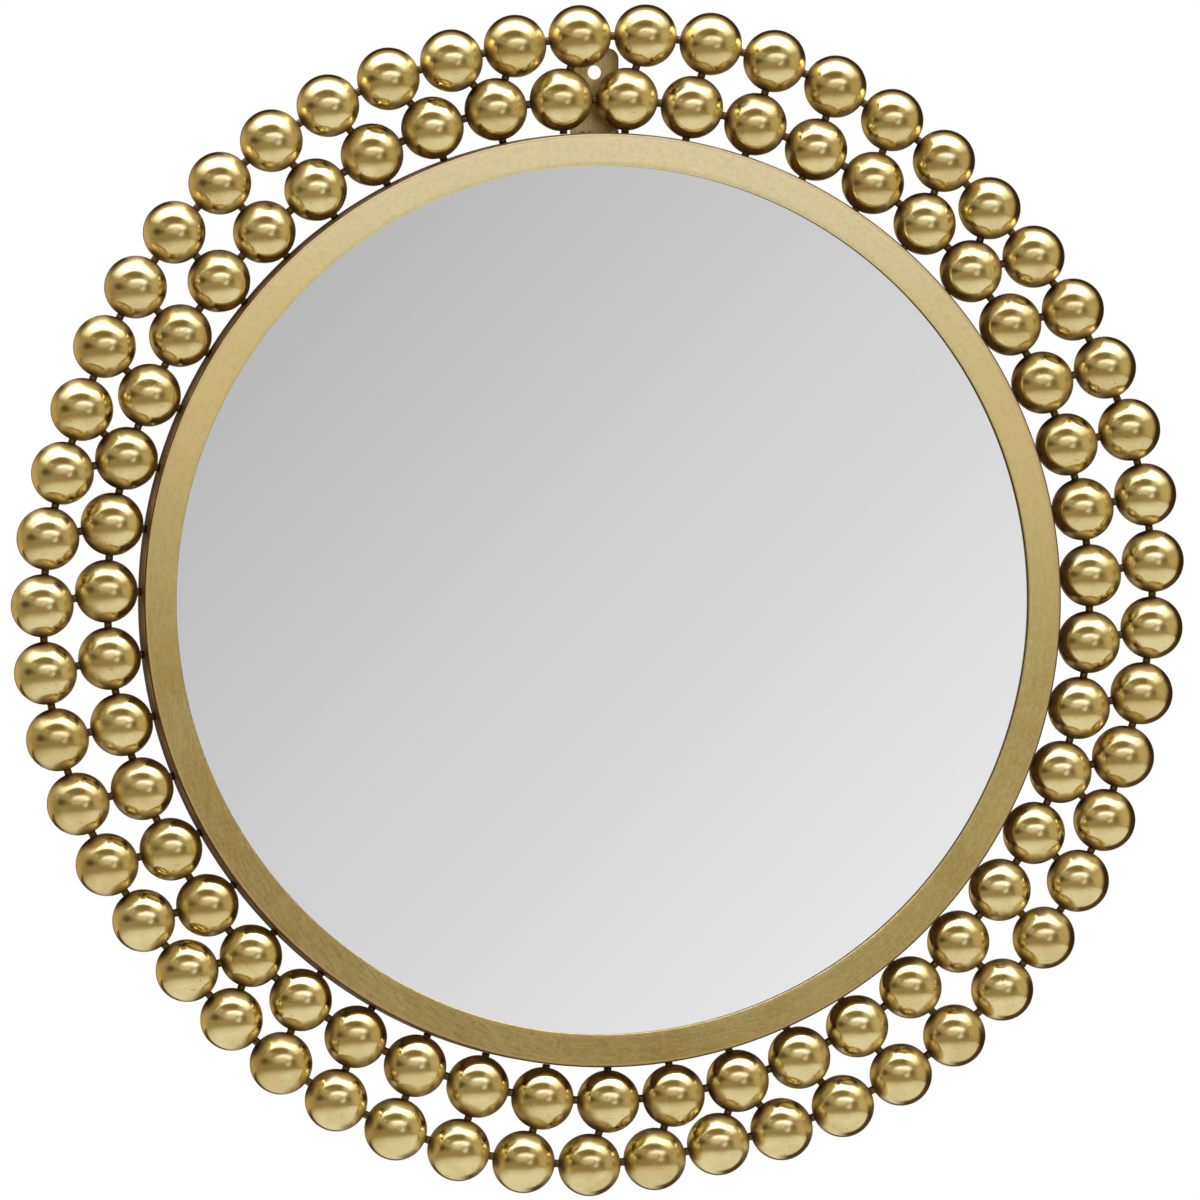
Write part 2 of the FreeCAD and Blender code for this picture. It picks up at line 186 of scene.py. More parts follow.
ballFinish = {
    "paleGold": (0.79, 0.685, 0.36, 1), "deepGold": (0.68, 0.555, 0.25, 1),
    "cloud": (42.0, 5.0, 0.6, 0.7), "goldRange": (0.42, 0.78), "goldTone": 0.2,
    # stain and soot: soot at the joints, spread wider as painted shade round the contacts
    "stainAndShade": (0.55, 0.35, 0.15, 1), "stainShadeRange": (0.4, 0.8), "stainShadeShare": 0.75, "sootShadeCloud": 0.5,
    "sootAndShade": (0.045, 0.024, 0.012, 1), "sootShadeRange": (0.62, 0.92), "sootShadeShare": 0.95,
    "hazeRange": (0.08, 0.42),  # heat from soldering dulls more than it stains
    "rust": (0.36, 0.17, 0.06, 1), "scuffs": ((120.0, 120.0, 420.0), 2.0, 0.5, 1.2),
    "scuffRange": (0.66, 0.74), "scuffShare": 0.35,
    "fine": (260.0, 3.0, 0.6), "pitScale": 260.0, "pitRange": (0.16, 0.07), "pitPatches": (0.5, 0.62),
    "pitShare": 0.7, "smear": (34.0, 6.0, 0.65, 1.4), "smearRange": (0.6, 0.7),
    "dents": (75.0, 2.0, 0.45), "dentLeast": 0.5, "dentTone": 1.2,
    "reliefMix": (1.0, 0.35, -0.25), "reliefDepth": 0.00012,  # dents, smears, pits
    "roughness": 0.07,
    "roughMix": (0.05, 0.03, 0.24, 0.14, 0.04, 0.09),  # cloud, fine, haze, stain and shade, tone, smear
}


def makeBallBrass(kit):
    material, tree = startFinish("ballBrass")
    spot = objectSpot(tree)
    tone = attributeOf(tree, "ballTone")
    joint = attributeOf(tree, "jointShade")
    cloud = noiseAt(spot, *kit["cloud"])
    fine = noiseAt(spot, *kit["fine"])
    pits = easeBetween(cellsAt(spot, kit["pitScale"]), *kit["pitRange"])
    pits = pits * easeBetween(cloud, *kit["pitPatches"])
    scuffs = streaksAt(spot, *kit["scuffs"])
    smear = easeBetween(noiseAt(spot, *kit["smear"]), *kit["smearRange"])
    gold = easeBetween(cloud + tone * kit["goldTone"], *kit["goldRange"])
    gold = blendColours(gold, kit["paleGold"], kit["deepGold"])
    # painted shade and soot: the mask darkens each ball round its joints, more to the right and top, and on
    # its side towards the ring
    sootShadeMask = joint + (cloud - 0.5) * kit["sootShadeCloud"]
    stainAndShade = easeBetween(sootShadeMask, *kit["stainShadeRange"])
    haze = easeBetween(joint, *kit["hazeRange"])
    gold = blendColours(stainAndShade * kit["stainShadeShare"], gold, kit["stainAndShade"])
    gold = blendColours(easeBetween(sootShadeMask, *kit["sootShadeRange"]) * kit["sootShadeShare"], gold, kit["sootAndShade"])
    gold = blendColours(easeBetween(scuffs, *kit["scuffRange"]) * kit["scuffShare"], gold, kit["rust"])
    gold = blendColours(pits * kit["pitShare"], gold, kit["sootAndShade"])
    dents = noiseAt(spot, *kit["dents"]) * (kit["dentLeast"] + tone * kit["dentTone"])
    closeFinish(tree, {
        "Base Color": gold, "Metallic": 1.0,
        "Roughness": kit["roughness"] + weighed(kit["roughMix"], cloud, fine, haze, stainAndShade, tone, smear),
        "Normal": bumped(weighed(kit["reliefMix"], dents, smear, pits), kit["reliefDepth"]),
    })
    return material


pegFinish = {
    "bright": (0.14, 0.09, 0.038, 1), "dark": (0.016, 0.01, 0.006, 1),
    "smoke": (320.0, 4.0, 0.65), "smokeDepth": 0.0001, "patches": (60.0, 2.0),
    "burntMix": (1.0, 0.3, 0.3), "burntRange": (0.3, 0.6), "roughness": 0.3, "smokeRough": 0.25,
}


def makePegBrass(kit):
    material, tree = startFinish("pegBrass")
    spot = objectSpot(tree)
    smoke = noiseAt(spot, *kit["smoke"])
    burnt = weighed(kit["burntMix"], attributeOf(tree, "pegEnd"), smoke, noiseAt(spot, *kit["patches"]))
    closeFinish(tree, {
        "Base Color": blendColours(easeBetween(burnt, *kit["burntRange"]), kit["bright"], kit["dark"]),
        "Metallic": 1.0, "Roughness": kit["roughness"] + smoke * kit["smokeRough"],
        "Normal": bumped(smoke, kit["smokeDepth"]),
    })
    return material


ringFinish = {
    "pale": (0.71, 0.60, 0.26, 1), "deep": (0.48, 0.365, 0.115, 1),
    "hairs": ((9.0, 1500.0, 1), 3.0, 0.6), "broken": ((60.0, 4200.0, 1), 2.0, 0.5),  # brushed round it
    "lineMix": (0.4, 0.6), "cloud": (16.0, 5.0, 0.62, 0.4), "mottle": (330.0, 4.0, 0.7),
    "toneMix": (0.55, 0.35, 0.3), "toneRange": (0.47, 0.75),
    "midPale": (0.92, 0.78, 0.37, 1), "topPale": (1.0, 0.92, 0.56, 1),  # painted light: paler at the top
    "lean": 0.06, "paleCloud": 0.15, "paleRange": (-0.08, 0.16), "topRange": (0.12, 0.28),
    "paleMost": 1.2, "paleTone": 0.5, "speckMix": (0.7, 0.4), "speckRange": (0.5, 0.75), "speckShare": 0.4,
    "brown": (0.20, 0.10, 0.036, 1), "duskLean": 0.5, "duskCloud": 0.25,  # painted shade below, most at the left
    "duskRange": (0.02, -0.34), "duskShare": 0.2,
    "scrubTurn": 0.3, "scrub": ((75.0, 850.0, 1), 4.0, 0.6), "scrubRange": (0.46, 0.66), "scrubShare": 0.26,
    "spots": (240.0, 3.0, 0.7), "spotRange": (0.64, 0.76), "spotShare": 0.25, "spotDusk": 0.3,
    "copper": (0.80, 0.50, 0.30, 1), "copperLine": (0.2946, 0.2957, 0.2964), "copperShare": 0.7,
    "sootAndShade": (0.03, 0.017, 0.01, 1), "rimRange": (0.0, 0.5), "rimShare": 0.95,  # painted shade: a dark line round the edge
    "sideRange": (0.7, 0.95), "sideShare": 0.75,  # and a lighter side
    "nickTurn": 0.5, "nicks": ((70.0, 1900.0, 1), 2.0, 0.5), "nickRange": (0.68, 0.78),
    "reliefMix": (0.7, 0.6, -0.5), "reliefDepth": 0.00004,  # lines, mottle, nicks
    "roughness": 0.26, "toneRough": 0.16,
}


def makeRingBrass(kit):
    material, tree = startFinish("ringBrass")
    spot = objectSpot(tree)
    strip = addNode(tree, "ShaderNodeUVMap", {"uv_map": "along"})  # u round the ring, v across, in metres
    x, z = splitAxes(spot, "XZ")
    height = z + x * kit["lean"]
    drop = z + x * kit["duskLean"]
    broken = streaksAt(strip, *kit["broken"])
    nicks = easeBetween(streaksAt(turned(strip, kit["nickTurn"]), *kit["nicks"]), *kit["nickRange"])
    cloud = noiseAt(spot, *kit["cloud"])
    mottle = noiseAt(spot, *kit["mottle"])
    spots = easeBetween(noiseAt(spot, *kit["spots"]), *kit["spotRange"])
    lines = weighed(kit["lineMix"], streaksAt(strip, *kit["hairs"]), broken)
    tone = weighed(kit["toneMix"], lines, cloud, mottle)
    colour = blendColours(easeBetween(tone, *kit["toneRange"]), kit["pale"], kit["deep"])
    # painted light: the ring's colour grows paler towards the top, palest at the very top
    bright = easeBetween(height + (cloud - 0.5) * kit["paleCloud"], *kit["paleRange"])
    paintedTopLight = blendColours(easeBetween(height, *kit["topRange"]), kit["midPale"], kit["topPale"])
    colour = blendColours(bright * (kit["paleMost"] - tone * kit["paleTone"]), colour, paintedTopLight)
    specks = easeBetween(weighed(kit["speckMix"], mottle, broken), *kit["speckRange"])
    colour = blendColours(specks * bright * kit["speckShare"], colour, kit["pale"])
    # painted shade: browner towards the bottom and the left, streaked with scrub marks, and more spots
    # there
    dusk = easeBetween(drop + (cloud - 0.5) * kit["duskCloud"], *kit["duskRange"])
    scrub = easeBetween(streaksAt(turned(strip, kit["scrubTurn"]), *kit["scrub"]), *kit["scrubRange"])
    paintedShadeBelow = dusk * (kit["duskShare"] + scrub * dusk * kit["scrubShare"])
    colour = blendColours(paintedShadeBelow, colour, kit["brown"])
    colour = blendColours(spots * (kit["spotShare"] + dusk * kit["spotDusk"]), colour, kit["brown"])
    reach = fromAxis(spot)
    # painted highlight: a thin copper line just inside the outer rounding
    inner, middle, outer = kit["copperLine"]
    paintedEdgeHighlight = easeBetween(reach, inner, middle) * easeBetween(reach, outer, middle)
    colour = blendColours(paintedEdgeHighlight * kit["copperShare"], colour, kit["copper"])
    # painted shade: dark on the outer rounding and down the inner lip wall, lighter on the side
    edge = attributeOf(tree, "edgeShade")
    side = easeBetween(edge, *kit["sideRange"]) * kit["sideShare"]
    rim = easeBetween(edge, *kit["rimRange"]) * (1 - side)
    closeFinish(tree, {
        "Base Color": blendColours(rim * kit["rimShare"], colour, kit["sootAndShade"]), "Metallic": 1.0,
        "Roughness": kit["roughness"] + tone * kit["toneRough"],
        "Normal": bumped(weighed(kit["reliefMix"], lines, mottle, nicks), kit["reliefDepth"]),
    })
    return material


bronzeFinish = {
    "dark": (0.19, 0.10, 0.042, 1), "worn": (0.52, 0.32, 0.13, 1),
    "cloud": (30.0, 6.0, 0.65, 0.5), "grain": (420.0, 3.0, 0.6), "grainDepth": 0.00008,
    "wornMix": (0.75, 0.3), "wornRange": (0.5, 0.72), "wornShare": 0.8,
    "sootAndShade": (0.02, 0.012, 0.008, 1), "sootShadeRange": (-0.003, 0.005), "ragged": 0.006,  # painted shade, black at the back
    "sootShadeShare": 0.85, "outside": (0.296, 0.297), "metallic": 0.5, "roughness": 0.4, "grainRough": 0.22,
}


def makeDarkBronze(kit):
    material, tree = startFinish("darkBronze")
    spot = objectSpot(tree)
    cloud = noiseAt(spot, *kit["cloud"])
    grain = noiseAt(spot, *kit["grain"])
    worn = easeBetween(weighed(kit["wornMix"], cloud, grain), *kit["wornRange"])
    colour = blendColours(worn * kit["wornShare"], kit["dark"], kit["worn"])
    # painted shade: the band's outside goes black towards the back
    depth = splitAxes(spot, "Y")[0]
    sootAndShade = easeBetween(depth + (cloud - 0.5) * kit["ragged"], *kit["sootShadeRange"])
    sootAndShade = sootAndShade * easeBetween(fromAxis(spot), *kit["outside"])
    closeFinish(tree, {
        "Base Color": blendColours(sootAndShade * kit["sootShadeShare"], colour, kit["sootAndShade"]),
        "Metallic": kit["metallic"], "Roughness": kit["roughness"] + grain * kit["grainRough"],
        "Normal": bumped(grain, kit["grainDepth"]),
    })
    return material


hangerFinish = {
    "pale": (0.66, 0.55, 0.26, 1), "deep": (0.40, 0.30, 0.12, 1), "cloud": (34.0, 5.0, 0.62, 0.4),
    "drawn": ((1100.0, 300.0, 22.0), 3.0, 0.6), "drawnDepth": 0.00003,  # rolling lines run up the strip
    "toneMix": (0.6, 0.5), "toneRange": (0.42, 0.72),
    "brown": (0.15, 0.08, 0.03, 1), "spots": (260.0, 3.0, 0.7), "spotRange": (0.62, 0.74), "spotShare": 0.5,
    "roughness": 0.28, "drawnRough": 0.16,
}


def makeHangerBrass(kit):
    material, tree = startFinish("hangerBrass")
    spot = objectSpot(tree)
    drawn = streaksAt(spot, *kit["drawn"])
    spots = easeBetween(noiseAt(spot, *kit["spots"]), *kit["spotRange"])
    tone = easeBetween(weighed(kit["toneMix"], noiseAt(spot, *kit["cloud"]), drawn), *kit["toneRange"])
    colour = blendColours(tone, kit["pale"], kit["deep"])
    closeFinish(tree, {
        "Base Color": blendColours(spots * kit["spotShare"], colour, kit["brown"]), "Metallic": 1.0,
        "Roughness": kit["roughness"] + drawn * kit["drawnRough"],
        "Normal": bumped(drawn, kit["drawnDepth"]),
    })
    return material


silverFinish = {
    "silver": (0.93, 0.935, 0.93, 1), "roughness": 0.012,
    "wiped": grey(0.8), "film": (9.0, 3.0, 0.6), "filmShare": 0.05, "filmRough": 0.012,  # faint film
}


def makeSilver(kit):
    material, tree = startFinish("silveredGlass")
    film = noiseAt(objectSpot(tree), *kit["film"])
    closeFinish(tree, {
        "Base Color": blendColours(film * kit["filmShare"], kit["silver"], kit["wiped"]), "Metallic": 1.0,
        "Roughness": kit["roughness"] + film * kit["filmRough"],
    })
    return material


boardFinish = {
    "pale": (0.40, 0.265, 0.15, 1), "dark": (0.235, 0.145, 0.076, 1), "cloud": (9.0, 4.0, 0.55),
    "fibres": ((300.0, 300.0, 105.0), 5.0, 0.7, 1.5), "toneMix": (0.8, 0.22),
    "toneRange": (0.3, 0.75), "meshPitch": 0.0021, "meshShare": 0.3,  # the print of a wire mesh
    "scuff": (0.50, 0.37, 0.24, 1), "flecks": (520.0, 2.0, 0.6), "fleckRange": (0.62, 0.75),
    "rubs": ((4, 1, 26), 4.0, 0.6, 0.6), "rubRange": (0.6, 0.75), "scuffMix": (0.4, 0.12),  # flecks, rubs
    "rimRange": (0.262, 0.2845), "rimShare": 0.4, "reliefMix": (0.5, -0.5), "reliefDepth": 0.00018,
    "roughness": 0.72, "fibreRough": 0.15, "gloss": 0.25,
}


def makeFibreBoard(kit):
    material, tree = startFinish("fibreBoard")
    spot = objectSpot(tree)
    turns = 2 * math.pi / kit["meshPitch"]
    across, up = [addNode(tree, "ShaderNodeMath", {"operation": "SINE"}, {0: axis * turns})
                  for axis in splitAxes(spot, "XZ")]
    weave = across * up * 0.5 + 0.5
    fibres = streaksAt(spot, *kit["fibres"])
    flecks = easeBetween(noiseAt(spot, *kit["flecks"]), *kit["fleckRange"])
    rubs = easeBetween(streaksAt(spot, *kit["rubs"]), *kit["rubRange"])
    tone = easeBetween(weighed(kit["toneMix"], fibres, noiseAt(spot, *kit["cloud"])), *kit["toneRange"])
    colour = blendColours(tone, kit["dark"], kit["pale"])
    colour = blendColours(weighed(kit["scuffMix"], flecks, rubs), colour, kit["scuff"])
    colour = blendColours(weave * kit["meshShare"], colour, kit["dark"])
    rim = easeBetween(lengthOf(spot), *kit["rimRange"])
    closeFinish(tree, {
        "Base Color": blendColours(rim * kit["rimShare"], colour, kit["dark"]),
        "Roughness": kit["roughness"] + fibres * kit["fibreRough"], "Specular IOR Level": kit["gloss"],
        "Normal": bumped(weighed(kit["reliefMix"], fibres, weave), kit["reliefDepth"]),
    })
    return material


zincFinish = {
    "bright": (0.66, 0.655, 0.63, 1), "dull": (0.42, 0.41, 0.385, 1),
    "spangle": (110.0, 4.0, 0.6), "spangleRange": (0.35, 0.7),
    "lines": ((900.0, 900.0, 60.0), 3.0, 0.6), "lineDepth": 0.00004, "roughness": 0.27, "lineRough": 0.16,
}


def makeZinc(kit):
    material, tree = startFinish("zincSteel")
    spot = objectSpot(tree)
    spangle = easeBetween(noiseAt(spot, *kit["spangle"]), *kit["spangleRange"])
    lines = streaksAt(spot, *kit["lines"])
    closeFinish(tree, {
        "Base Color": blendColours(spangle, kit["bright"], kit["dull"]), "Metallic": 1.0,
        "Roughness": kit["roughness"] + lines * kit["lineRough"],
        "Normal": bumped(lines, kit["lineDepth"]),
    })
    return material


softFinishes = {
    "padRubber": {"pale": (0.11, 0.108, 0.1, 1), "dark": (0.035, 0.034, 0.032, 1),
                  "grain": (900.0, 4.0, 0.7), "grainDepth": 0.00005, "roughness": 0.6},
    "gasketRubber": {"pale": (0.06, 0.06, 0.058, 1), "dark": (0.02, 0.02, 0.02, 1),
                     "grain": (700.0, 4.0, 0.7), "grainDepth": 0.00004, "roughness": 0.55},
    "cushionFelt": {"pale": (0.30, 0.28, 0.25, 1), "dark": (0.13, 0.12, 0.105, 1),
                    "grain": (800.0, 4.0, 0.7), "grainDepth": 0.0002, "roughness": 0.85},
}
softShared = {
    "dust": (70.0, 4.0, 0.6), "dustRange": (0.5, 0.75), "toneMix": (0.7, 0.25), "grainRough": 0.15,
    "gloss": 0.3,
}


def makeSoft(name):
    kit = {**softFinishes[name], **softShared}
    material, tree = startFinish(name)
    spot = objectSpot(tree)
    grain = noiseAt(spot, *kit["grain"])
    dust = easeBetween(noiseAt(spot, *kit["dust"]), *kit["dustRange"])
    closeFinish(tree, {
        "Base Color": blendColours(weighed(kit["toneMix"], grain, dust), kit["dark"], kit["pale"]),
        "Roughness": kit["roughness"] + grain * kit["grainRough"], "Specular IOR Level": kit["gloss"],
        "Normal": bumped(grain, kit["grainDepth"]),
    })
    return material


ballBrass = makeBallBrass(ballFinish)
pegBrass = makePegBrass(pegFinish)
ringBrass = makeRingBrass(ringFinish)
darkBronze = makeDarkBronze(bronzeFinish)
hangerBrass = makeHangerBrass(hangerFinish)
silveredGlass = makeSilver(silverFinish)
fibreBoard = makeFibreBoard(boardFinish)
zincSteel = makeZinc(zincFinish)
padRubber, gasketRubber, cushionFelt = [makeSoft(name) for name in softFinishes]
print("finishes made:", len(bpy.data.materials))


# mesh helpers

sharpAngle = math.radians(35)


def addObject(name, data):
    piece = bpy.data.objects.new(name, data)
    scene.collection.objects.link(piece)
    return piece


def asPlainMesh(piece):
    # applies the piece's modifiers, as one plain mesh
    graph = bpy.context.evaluated_depsgraph_get()
    seen = piece.evaluated_get(graph)
    mesh = bpy.data.meshes.new_from_object(seen, preserve_all_data_layers=True, depsgraph=graph)
    piece.modifiers.clear()
    piece.data = mesh
    mesh.name = piece.name
    return piece


def finishPiece(piece, body, nodes):
    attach(piece, body)
    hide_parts(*nodes)


def plainMesh(name, places, edges=(), faces=()):
    mesh = bpy.data.meshes.new(name)
    mesh.from_pydata(places, list(edges), list(faces))
    return mesh


def roundCorner(centre, radius, first, last, steps):
    # points of an arc, in degrees from +x towards +y
    angles = [math.radians(first + (last - first) * step / steps) for step in range(steps + 1)]
    x, y = centre
    return [(x + radius * math.cos(angle), y + radius * math.sin(angle)) for angle in angles]


def turnOnLathe(name, profile, segments, closed=True):
    # profile holds (radius, depth) pairs; it is spun about the y axis, clockwise from the top
    tool = bmesh.new()
    uvLayer = tool.loops.layers.uv.new("along")
    count = len(profile)
    lengths = [0.0]
    for index in range(count):
        lengths.append(lengths[-1] + math.dist(profile[index], profile[(index + 1) % count]))
    turns = [2 * math.pi * step / segments for step in range(segments)]
    rings = []
    for radius, depth in profile:
        spun = turns if radius else turns[:1]  # one point on the axis
        rings.append([tool.verts.new((radius * math.sin(turn), depth, radius * math.cos(turn)))
                      for turn in spun])
    meanRadius = sum(radius for radius, depth in profile) / count
    around = 2 * math.pi * meanRadius / segments
    for index in range(count if closed else count - 1):
        first, second = rings[index], rings[(index + 1) % count]
        for step in range(segments):
            after = (step + 1) % segments
            corners = [(first, step, step, index), (first, after, step + 1, index),
                       (second, after, step + 1, index + 1), (second, step, step, index + 1)]
            picked, spots = [], []
            for ring, place, u, v in corners:
                vert = ring[place % len(ring)]
                if vert not in picked:
                    picked.append(vert)
                    spots.append((u * around, lengths[v]))
            face = tool.faces.new(picked)
            face.smooth = True
            for loop, spot in zip(face.loops, spots):
                loop[uvLayer].uv = spot
    bmesh.ops.recalc_face_normals(tool, faces=tool.faces)
    mesh = bpy.data.meshes.new(name)
    tool.to_mesh(mesh)
    tool.free()
    mesh.set_sharp_from_angle(angle=sharpAngle)
    return mesh


def addTurned(name, profile, kit, material, node, closed=True):
    mesh = turnOnLathe(name, profile, kit["segments"], closed)
    mesh.materials.append(material)
    finishPiece(addObject(name, mesh), "frame", [node])
    return mesh


def growTree(name, inputs):
    # inputs are (name, socket type) pairs after the geometry
    tree = bpy.data.node_groups.new(name, "GeometryNodeTree")
    tree.interface.new_socket("Geometry", in_out="INPUT", socket_type="NodeSocketGeometry")
    identifiers = {label: tree.interface.new_socket(label, in_out="INPUT", socket_type=kind).identifier
                   for label, kind in inputs}
    tree.interface.new_socket("Geometry", in_out="OUTPUT", socket_type="NodeSocketGeometry")
    entry = tree.nodes.new("NodeGroupInput")
    wires = {output.name: Wire(output) for output in entry.outputs if output.name}
    return tree, wires, identifiers


def closeTree(tree, geometry, material):
    whole = addNode(tree, "GeometryNodeRealizeInstances", None, {"Geometry": geometry})
    dressed = addNode(tree, "GeometryNodeSetMaterial", None, {"Geometry": whole, "Material": material})
    addNode(tree, "NodeGroupOutput", None, {"Geometry": dressed})


def runTree(name, mesh, tree, identifiers, values):
    piece = addObject(name, mesh)
    modifier = piece.modifiers.new(tree.name, "NODES")
    modifier.node_group = tree
    for label, value in values.items():
        modifier[identifiers[label]] = value
    return asPlainMesh(piece)


# where the balls are

ballRows = {
    "diameter": 40 * mm, "innerRadius": 319.6 * mm, "innerCount": 47, "outerCount": 53,
    "innerStart": 3.0, "outerStart": 4.6, "rowGap": 2.2 * mm, "ringRadius": 297.5 * mm,
    "segments": 56, "rings": 28, "jointReach": 24 * mm, "ringOffset": 10 * mm, "seed": 4, "spin": 6.28,
    "paintedShadeLean": (-5 * mm, 0, -3 * mm),  # painted shade lies more on the right and the top of each ball
}


def onCircle(radius, turn):
    angle = math.radians(turn)
    return Vector((radius * math.sin(angle), 0, radius * math.cos(angle)))


def ballCentres(kit):
    # each outer ball rests a fixed gap from its nearest inner ball
    pitch = 360 / kit["innerCount"]
    turns = [kit["innerStart"] + pitch * index for index in range(kit["innerCount"])]
    inner = [onCircle(kit["innerRadius"], turn) for turn in turns]
    span = kit["diameter"] + kit["rowGap"]
    outer, nearest = [], []
    for index in range(kit["outerCount"]):
        turn = kit["outerStart"] + 360 * index / kit["outerCount"]
        close = round((turn - kit["innerStart"]) / pitch)
        off = math.radians(turn - kit["innerStart"] - pitch * close)
        reach = kit["innerRadius"] * math.cos(off)
        reach += math.sqrt(span ** 2 - (kit["innerRadius"] * math.sin(off)) ** 2)
        outer.append(onCircle(reach, turn))
        nearest.append(close % kit["innerCount"])
    return inner, outer, nearest


innerBalls, outerBalls, nearestInner = ballCentres(ballRows)
innerPairs = [(innerBalls[index - 1], innerBalls[index]) for index in range(len(innerBalls))]
outerPairs = [(outerBalls[index - 1], outerBalls[index]) for index in range(len(outerBalls))]
linkPairs = [(innerBalls[close], ball) for close, ball in zip(nearestInner, outerBalls)]
studPairs = [(ball.normalized() * ballRows["ringRadius"], ball) for ball in innerBalls]
paintedShadeLean = Vector(ballRows["paintedShadeLean"])
sootShadeSpots = [(first + second) / 2 + paintedShadeLean for first, second in innerPairs + outerPairs + linkPairs]
# painted shade on each ball's side towards the ring, whether it touches the ring or not
ringSide = ballRows["diameter"] / 2 + ballRows["ringOffset"]
sootShadeSpots += [ball - ball.normalized() * ringSide for ball in innerBalls + outerBalls]
print("balls placed:", len(innerBalls), len(outerBalls))


# balls

def makeBallTree(mostSpin):
    tree, given, identifiers = growTree("ballRow", [
        ("Ball Radius", "NodeSocketFloat"), ("Segments", "NodeSocketInt"), ("Rings", "NodeSocketInt"),
        ("Joints", "NodeSocketObject"), ("Joint Reach", "NodeSocketFloat"), ("Seed", "NodeSocketInt"),
        ("Finish", "NodeSocketMaterial")])
    tone = addNode(tree, "FunctionNodeRandomValue", {"data_type": "FLOAT"}, {"Seed": given["Seed"]}, 1)
    points = addNode(tree, "GeometryNodeStoreNamedAttribute", {"data_type": "FLOAT", "domain": "POINT"},
                     {"Geometry": given["Geometry"], "Name": "ballTone", "Value": tone})
    ball = addNode(tree, "GeometryNodeMeshUVSphere", None, {
        "Segments": given["Segments"], "Rings": given["Rings"], "Radius": given["Ball Radius"]})
    ball = addNode(tree, "GeometryNodeSetShadeSmooth", None, {"Geometry": ball})
    spin = addNode(tree, "FunctionNodeRandomValue", {"data_type": "FLOAT_VECTOR"}, {
        "Min": (0, 0, 0), "Max": (mostSpin, mostSpin, mostSpin), "Seed": given["Seed"]}, 0)
    row = addNode(tree, "GeometryNodeInstanceOnPoints", None, {
        "Points": points, "Instance": ball, "Rotation": spin})
    row = addNode(tree, "GeometryNodeRealizeInstances", None, {"Geometry": row})
    joints = addNode(tree, "GeometryNodeObjectInfo", None, {"Object": given["Joints"]}, "Geometry")
    away = addNode(tree, "GeometryNodeProximity", {"target_element": "POINTS"}, {0: joints}, "Distance")
    shade = addNode(tree, "ShaderNodeMapRange", {"interpolation_type": "SMOOTHSTEP"}, {
        "Value": away, "From Min": given["Joint Reach"], "From Max": 0.0})
    row = addNode(tree, "GeometryNodeStoreNamedAttribute", {"data_type": "FLOAT", "domain": "POINT"},
                  {"Geometry": row, "Name": "jointShade", "Value": shade})
    closeTree(tree, row, given["Finish"])
    return tree, identifiers


def makeBalls(kit):
    tree, identifiers = makeBallTree(kit["spin"])
    joints = addObject("jointMarks", plainMesh("jointMarks", sootShadeSpots))
    rows = (("innerBalls", innerBalls, "inner_ball_row"), ("outerBalls", outerBalls, "outer_ball_row"))
    for place, (name, centres, node) in enumerate(rows):
        piece = runTree(name, plainMesh(name, centres), tree, identifiers, {
            "Ball Radius": kit["diameter"] / 2, "Segments": kit["segments"], "Rings": kit["rings"],
            "Joints": joints, "Joint Reach": kit["jointReach"], "Seed": kit["seed"] + place,
            "Finish": ballBrass})
        finishPiece(piece, "frame", [node])
    bpy.data.objects.remove(joints)


makeBalls(ballRows)
print("balls made")


# pegs between the balls

pegs = {"radius": 2.5 * mm, "flare": 2.0, "sink": 0.5 * mm, "ringGap": 0.2 * mm, "sides": 12, "steps": 9}


def makePegTree():
    tree, given, identifiers = growTree("pegs", [
        ("Peg Radius", "NodeSocketFloat"), ("Flare", "NodeSocketFloat"), ("Sides", "NodeSocketInt"),
        ("Steps", "NodeSocketInt"), ("Finish", "NodeSocketMaterial")])
    line = addNode(tree, "GeometryNodeMeshToCurve", None, {"Mesh": given["Geometry"]})
    line = addNode(tree, "GeometryNodeResampleCurve", None, {"Curve": line, "Count": given["Steps"]})
    along = addNode(tree, "GeometryNodeSplineParameter", None, None, "Factor")
    ends = (along * 2 - 1) ** 2
    line = addNode(tree, "GeometryNodeSetCurveRadius", None, {
        "Curve": line, "Radius": ends * given["Flare"] + 1})  # soldered ends spread onto the balls
    line = addNode(tree, "GeometryNodeStoreNamedAttribute", {"data_type": "FLOAT", "domain": "POINT"},
                   {"Geometry": line, "Name": "pegEnd", "Value": ends})
    section = addNode(tree, "GeometryNodeCurvePrimitiveCircle", None, {
        "Resolution": given["Sides"], "Radius": given["Peg Radius"]})
    rod = addNode(tree, "GeometryNodeCurveToMesh", None, {
        "Curve": line, "Profile Curve": section, "Fill Caps": True})
    rod = addNode(tree, "GeometryNodeSetShadeSmooth", None, {"Geometry": rod})
    closeTree(tree, rod, given["Finish"])
    return tree, identifiers


def makePegs(kit):
    tree, identifiers = makePegTree()
    radius = ballRows["diameter"] / 2
    seat = math.sqrt(radius ** 2 - (kit["radius"] * (1 + kit["flare"])) ** 2) - kit["sink"]
    groups = (("innerPegs", innerPairs, "inner_row_pins", seat),
              ("outerPegs", outerPairs, "outer_row_pins", seat),
              ("rowLinks", linkPairs, "row_links", seat),
              ("ringStuds", studPairs, "ring_studs", kit["ringGap"]))
    for name, pairs, node, start in groups:
        places, edges = [], []
        for first, second in pairs:
            way = (second - first).normalized()
            edges.append((len(places), len(places) + 1))
            places += [first + way * start, second - way * seat]
        piece = runTree(name, plainMesh(name, places, edges), tree, identifiers, {
            "Peg Radius": kit["radius"], "Flare": kit["flare"], "Sides": kit["sides"],
            "Steps": kit["steps"], "Finish": pegBrass})
        finishPiece(piece, "frame", [node])


makePegs(pegs)
print("pegs made")


